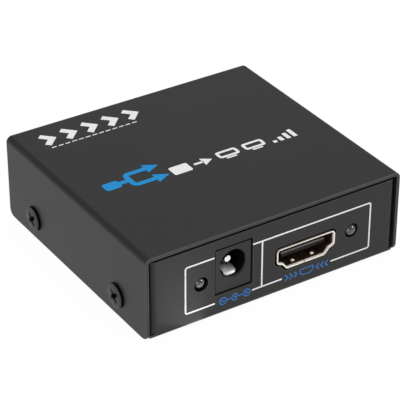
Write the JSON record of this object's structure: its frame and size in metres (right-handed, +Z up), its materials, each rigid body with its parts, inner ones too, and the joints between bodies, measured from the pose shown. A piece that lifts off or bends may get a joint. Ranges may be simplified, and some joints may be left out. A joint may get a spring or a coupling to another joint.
{
  "type": "video splitter",
  "caption": "Flat black folded-steel box that repeats a video signal: power jack and input socket in the front panel, output sockets in the rear panel, circuit board inside.",
  "frame": {"origin": "middle of the case on the surface it stands on", "axes": "+X along the front panel to the right as seen from the front, +Y from the front panel to the rear panel, +Z up"},
  "size_m": [0.0654, 0.0594, 0.02],
  "materials": {
    "case_paint": "black fine-texture powder coat on folded steel",
    "screw_black": "black zinc",
    "plated_steel": "bright zinc",
    "board_green": "solder mask over glass-epoxy",
    "shell_plate": "pale gold flash plating",
    "socket_black": "moulded",
    "contact_gold": "gold flash plating",
    "jack_black": "moulded, satin",
    "jack_tin": "bright nickel",
    "led_clear": "water-clear epoxy",
    "lead_tin": "tinned",
    "chip_epoxy": "moulded epoxy",
    "ferrite": "sintered",
    "can_aluminium": "satin",
    "ceramic": "fired ceramic",
    "resistor_body": "glazed"
  },
  "bodies": {
    "case": {"top_cover": "case_paint", "base_tray": "case_paint", "cover_screws": "screw_black", "board_standoffs": "plated_steel", "board_screws": "plated_steel", "circuit_board": "board_green", "input_shell": "shell_plate", "input_insulator": "socket_black", "input_contacts": "contact_gold", "output_1_shell": "shell_plate", "output_1_insulator": "socket_black", "output_1_contacts": "contact_gold", "output_2_shell": "shell_plate", "output_2_insulator": "socket_black", "output_2_contacts": "contact_gold", "power_jack_housing": "jack_black", "power_jack_pin": "jack_tin", "power_jack_terminal": "jack_tin", "power_jack_switch": "jack_tin", "power_led": "led_clear", "input_led": "led_clear", "output_1_led": "led_clear", "output_2_led": "led_clear", "led_leads": "lead_tin", "splitter_chip": "chip_epoxy", "chip_leads": "lead_tin", "memory_chips": "chip_epoxy", "regulator": "chip_epoxy", "power_inductor": "ferrite", "capacitor_cans": "can_aluminium", "capacitor_bases": "chip_epoxy", "chip_capacitors": "ceramic", "chip_resistors": "resistor_body", "crystal": "plated_steel", "surge_arrays": "chip_epoxy"},
    "jack_spring": {"power_jack_spring": "jack_tin"}
  },
  "joints": [
    {"name": "sleeve_leaf", "type": "hinge", "parent": "case", "child": "jack_spring", "pos_m": [-0.0106, -0.0188, 0.0076], "axis": [1, 0, 0], "range_deg": [0, 7.4], "stiffness_Nm_per_rad": 0.05}
  ]
}
